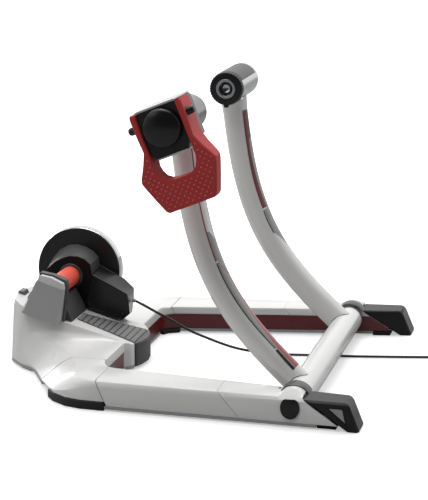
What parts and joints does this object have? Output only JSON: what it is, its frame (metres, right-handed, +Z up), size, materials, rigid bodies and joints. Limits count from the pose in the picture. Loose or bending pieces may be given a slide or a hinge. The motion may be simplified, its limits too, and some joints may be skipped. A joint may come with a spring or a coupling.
{
  "type": "magnetic bike trainer",
  "caption": "Folding bike trainer: U-shaped white base, hinged curved steel frame with axle clamp and adjustable cup, roller with flywheel and a cabled magnetic brake.",
  "frame": {"origin": "centre of the trainer's footprint on the floor, its free cord left out", "axes": "+Z up, +X from the roller and brake to the open front ends of the legs, +Y from the clamp lever's side to the flywheel's side"},
  "size_m": [0.7448, 0.6046, 0.4629],
  "materials": {
    "white_plastic": "satin moulded",
    "white_paint": "smooth powder coat",
    "pan_grey": "matt moulded",
    "dark_grey": "matt moulded",
    "mid_grey": "fine grained",
    "black_plastic": "satin moulded",
    "black_rubber": "matt",
    "red_plastic": "satin moulded",
    "red_inset": "matt",
    "roller_red": "soft matt",
    "silver": "satin",
    "steel": "machined",
    "chrome": "bright",
    "cable_black": "smooth cable sheath"
  },
  "bodies": {
    "base": {"brake_base": "dark_grey", "brake_motor": "steel", "centre_pan": "pan_grey", "cord_coil": "cable_black", "cord_gland": "silver", "cord_lead": "cable_black", "cord_plug": "cable_black", "far_bearing": "steel", "far_corner_cover": "white_plastic", "far_corner_foot": "black_rubber", "far_end_cap": "black_plastic", "far_front_pad": "black_rubber", "far_inset": "red_inset", "far_leg_cover": "white_plastic", "far_leg_front": "white_plastic", "far_leg_pan": "pan_grey", "far_pivot_pin": "steel", "far_pivot_plug": "black_plastic", "far_pivot_ring": "mid_grey", "magnet_housing": "black_plastic", "magnet_lid": "dark_grey", "near_bracket": "dark_grey", "near_corner_cover": "white_plastic", "near_corner_foot": "black_rubber", "near_cover": "mid_grey", "near_end_cap": "black_plastic", "near_front_pad": "black_rubber", "near_inset": "red_inset", "near_leg_cover": "white_plastic", "near_leg_front": "white_plastic", "near_leg_pan": "pan_grey", "near_pivot_pin": "steel", "near_pivot_plug": "black_plastic", "near_pivot_ring": "mid_grey", "rear_foot": "black_rubber", "rear_lug": "dark_grey", "rear_shell": "white_plastic", "roller_collar": "dark_grey", "roller_seal": "black_rubber", "tongue_nose": "dark_grey", "tongue_tread": "dark_grey"},
    "a_frame": {"cross_tube": "white_paint", "near_arm": "white_paint", "far_arm": "white_paint", "near_head_barrel": "silver", "far_head_barrel": "silver", "far_head_cover": "dark_grey", "clamp_block": "black_plastic", "clamp_top_plate": "silver", "clamp_dome": "black_plastic"},
    "lever": {"clamp_lever": "red_plastic", "lever_pin": "black_plastic"},
    "near_cup": {"near_cup": "chrome"},
    "adjuster_ring": {"adjuster_ring": "black_plastic"},
    "far_cup": {"far_cup": "chrome"},
    "rotor": {"roller_shaft": "steel", "roller_sleeve": "roller_red", "flywheel_face": "black_plastic", "flywheel_rim": "chrome"},
    "magnet_carrier": {"magnet_carrier": "steel"}
  },
  "joints": [
    {"name": "frame_fold", "type": "hinge", "parent": "base", "child": "a_frame", "pos_m": [0.2002, 0, 0.0287], "axis": [0, 1, 0], "range_deg": [-39, 12]},
    {"name": "lever_turn", "type": "hinge", "parent": "a_frame", "child": "lever", "pos_m": [0.01157, -0.278, 0.42849], "axis": [-0.9272, 0, -0.3746], "range_deg": [0, 85]},
    {"name": "near_cup_slide", "type": "slide", "parent": "a_frame", "child": "near_cup", "axis": [0, 1, 0], "range_m": [0, 0.045]},
    {"name": "adjuster_turn", "type": "hinge", "parent": "a_frame", "child": "adjuster_ring", "pos_m": [0.0152, 0.129, 0.4195], "axis": [0, 1, 0], "range_deg": [0, 1080]},
    {"name": "far_cup_slide", "type": "slide", "parent": "a_frame", "child": "far_cup", "axis": [0, -1, 0], "range_m": [0, 0.04]},
    {"name": "rotor_spin", "type": "hinge", "parent": "base", "child": "rotor", "pos_m": [-0.2156, 0, 0.127], "axis": [0, 1, 0], "continuous": true},
    {"name": "magnet_slide", "type": "slide", "parent": "base", "child": "magnet_carrier", "axis": [-1, 0, 0], "range_m": [0, 0.012]}
  ],
  "couplings": [
    {"joint": "near_cup_slide", "follows": "lever_turn", "m_per_rad": 0.03},
    {"joint": "adjuster_turn", "follows": "far_cup_slide", "rad_per_m": 471.2}
  ]
}
